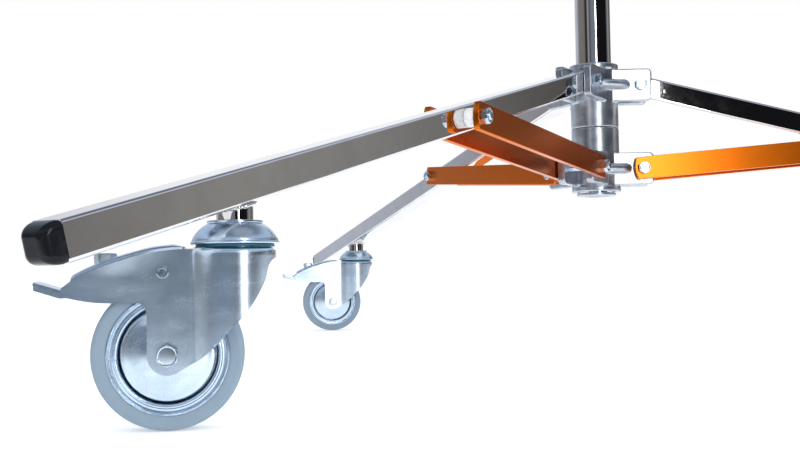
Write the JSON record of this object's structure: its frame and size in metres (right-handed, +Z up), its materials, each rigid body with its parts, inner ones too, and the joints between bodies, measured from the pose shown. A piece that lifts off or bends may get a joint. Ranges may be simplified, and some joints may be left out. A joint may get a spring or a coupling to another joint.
{
  "type": "folding castor base of a column stand",
  "caption": "Folding tripod base for a tall stand: chromed column in sliding hub castings, square-tube legs with orange brace bars, and swivel castors with foot brakes.",
  "frame": {"origin": "on the column's axis at the seat of its socket, the top of the foot plug; the floor is 0.200 m below it", "axes": "+Z up along the column, out of its socket; +X outwards along leg 3"},
  "size_m": [1.3, 1.4598, 0.88],
  "materials": {
    "chrome_steel": "bright chrome plate",
    "cast_aluminium": "tumble-polished die casting",
    "orange_anodised": "satin orange anodised",
    "white_nylon": "turned white nylon",
    "black_plastic": "glossy moulded black",
    "zinc_fasteners": "bright zinc plate",
    "zinc_pressed": "blue-passivated zinc plate on pressed steel",
    "blue_seal": "dark petrol-blue moulded ring",
    "grey_rubber": "non-marking grey rubber"
  },
  "bodies": {
    "root": {"column": "chrome_steel", "foot_plug": "black_plastic", "lower_hub": "cast_aluminium"},
    "slider": {"upper_hub": "cast_aluminium", "hub_lock_bolt": "zinc_fasteners", "leg_pivot_bolts": "zinc_fasteners"},
    "leg_1": {"leg_1": "chrome_steel", "leg_cap_1": "black_plastic", "leg_fasteners_1": "zinc_fasteners", "brace_spacers_1": "white_nylon", "castor_stub_1": "chrome_steel", "castor_king_bolt_1": "zinc_fasteners", "castor_race_1": "zinc_pressed"},
    "brace_1": {"brace_bars_1": "orange_anodised", "brace_fasteners_1": "zinc_fasteners"},
    "castor_1": {"castor_fork_1": "zinc_pressed", "castor_ball_cage_1": "blue_seal", "lever_pivot_1": "zinc_fasteners", "axle_1": "zinc_fasteners", "thread_guards_1": "zinc_pressed"},
    "lever_1": {"brake_lever_1": "zinc_pressed", "lever_nut_1": "zinc_fasteners"},
    "wheel_1": {"tyre_1": "grey_rubber", "rim_1": "zinc_pressed"},
    "leg_2": {"leg_2": "chrome_steel", "leg_cap_2": "black_plastic", "leg_fasteners_2": "zinc_fasteners", "brace_spacers_2": "white_nylon", "castor_stub_2": "chrome_steel", "castor_king_bolt_2": "zinc_fasteners", "castor_race_2": "zinc_pressed"},
    "brace_2": {"brace_bars_2": "orange_anodised", "brace_fasteners_2": "zinc_fasteners"},
    "castor_2": {"castor_fork_2": "zinc_pressed", "castor_ball_cage_2": "blue_seal", "lever_pivot_2": "zinc_fasteners", "axle_2": "zinc_fasteners", "thread_guards_2": "zinc_pressed"},
    "lever_2": {"brake_lever_2": "zinc_pressed", "lever_nut_2": "zinc_fasteners"},
    "wheel_2": {"tyre_2": "grey_rubber", "rim_2": "zinc_pressed"},
    "leg_3": {"leg_3": "chrome_steel", "leg_cap_3": "black_plastic", "leg_fasteners_3": "zinc_fasteners", "brace_spacers_3": "white_nylon", "castor_stub_3": "chrome_steel", "castor_king_bolt_3": "zinc_fasteners", "castor_race_3": "zinc_pressed"},
    "brace_3": {"brace_bars_3": "orange_anodised", "brace_fasteners_3": "zinc_fasteners"},
    "castor_3": {"castor_fork_3": "zinc_pressed", "castor_ball_cage_3": "blue_seal", "lever_pivot_3": "zinc_fasteners", "axle_3": "zinc_fasteners", "thread_guards_3": "zinc_pressed"},
    "lever_3": {"brake_lever_3": "zinc_pressed", "lever_nut_3": "zinc_fasteners"},
    "wheel_3": {"tyre_3": "grey_rubber", "rim_3": "zinc_pressed"}
  },
  "joints": [
    {"name": "hub_slide", "type": "slide", "parent": "root", "child": "slider", "axis": [0, 0, 1], "range_m": [0, 0.43872]},
    {"name": "leg_fold_1", "type": "hinge", "parent": "slider", "child": "leg_1", "pos_m": [-0.02615, -0.04529, 0.1193], "axis": [0.866, -0.5, 0], "range_deg": [0, 48.01]},
    {"name": "brace_fold_1", "type": "hinge", "parent": "root", "child": "brace_1", "pos_m": [-0.02615, -0.04529, 0.0189], "axis": [-0.866, 0.5, 0], "range_deg": [0, 57.1]},
    {"name": "castor_swivel_1", "type": "hinge", "parent": "leg_1", "child": "castor_1", "pos_m": [-0.3335, -0.57764, -0.08005], "axis": [0, 0, 1], "continuous": true},
    {"name": "brake_press_1", "type": "hinge", "parent": "castor_1", "child": "lever_1", "pos_m": [-0.37967, -0.58645, -0.09605], "axis": [0.1874, -0.9823, 0], "range_deg": [0, 8]},
    {"name": "wheel_spin_1", "type": "hinge", "parent": "castor_1", "child": "wheel_1", "pos_m": [-0.37711, -0.58596, -0.15005], "axis": [0.1874, -0.9823, 0], "continuous": true},
    {"name": "leg_fold_2", "type": "hinge", "parent": "slider", "child": "leg_2", "pos_m": [-0.02615, 0.04529, 0.1193], "axis": [-0.866, -0.5, 0], "range_deg": [0, 48.01]},
    {"name": "brace_fold_2", "type": "hinge", "parent": "root", "child": "brace_2", "pos_m": [-0.02615, 0.04529, 0.0189], "axis": [0.866, 0.5, 0], "range_deg": [0, 57.1]},
    {"name": "castor_swivel_2", "type": "hinge", "parent": "leg_2", "child": "castor_2", "pos_m": [-0.3335, 0.57764, -0.08005], "axis": [0, 0, 1], "continuous": true},
    {"name": "brake_press_2", "type": "hinge", "parent": "castor_2", "child": "lever_2", "pos_m": [-0.37967, 0.56883, -0.09605], "axis": [0.1874, -0.9823, 0], "range_deg": [0, 8]},
    {"name": "wheel_spin_2", "type": "hinge", "parent": "castor_2", "child": "wheel_2", "pos_m": [-0.37711, 0.56932, -0.15005], "axis": [0.1874, -0.9823, 0], "continuous": true},
    {"name": "leg_fold_3", "type": "hinge", "parent": "slider", "child": "leg_3", "pos_m": [0.0523, 0, 0.1193], "axis": [0, 1, 0], "range_deg": [0, 48.01]},
    {"name": "brace_fold_3", "type": "hinge", "parent": "root", "child": "brace_3", "pos_m": [0.0523, 0, 0.0189], "axis": [0, -1, 0], "range_deg": [0, 57.1]},
    {"name": "castor_swivel_3", "type": "hinge", "parent": "leg_3", "child": "castor_3", "pos_m": [0.667, 0, -0.08005], "axis": [0, 0, 1], "continuous": true},
    {"name": "brake_press_3", "type": "hinge", "parent": "castor_3", "child": "lever_3", "pos_m": [0.62083, -0.00881, -0.09605], "axis": [0.1874, -0.9823, 0], "range_deg": [0, 8]},
    {"name": "wheel_spin_3", "type": "hinge", "parent": "castor_3", "child": "wheel_3", "pos_m": [0.62339, -0.00832, -0.15005], "axis": [0.1874, -0.9823, 0], "continuous": true}
  ],
  "couplings": [
    {"joint": "leg_fold_1", "follows": "hub_slide", "rad_per_m": 1.9095},
    {"joint": "brace_fold_1", "follows": "hub_slide", "rad_per_m": 2.271},
    {"joint": "leg_fold_2", "follows": "hub_slide", "rad_per_m": 1.9095},
    {"joint": "brace_fold_2", "follows": "hub_slide", "rad_per_m": 2.271},
    {"joint": "leg_fold_3", "follows": "hub_slide", "rad_per_m": 1.9095},
    {"joint": "brace_fold_3", "follows": "hub_slide", "rad_per_m": 2.271}
  ]
}
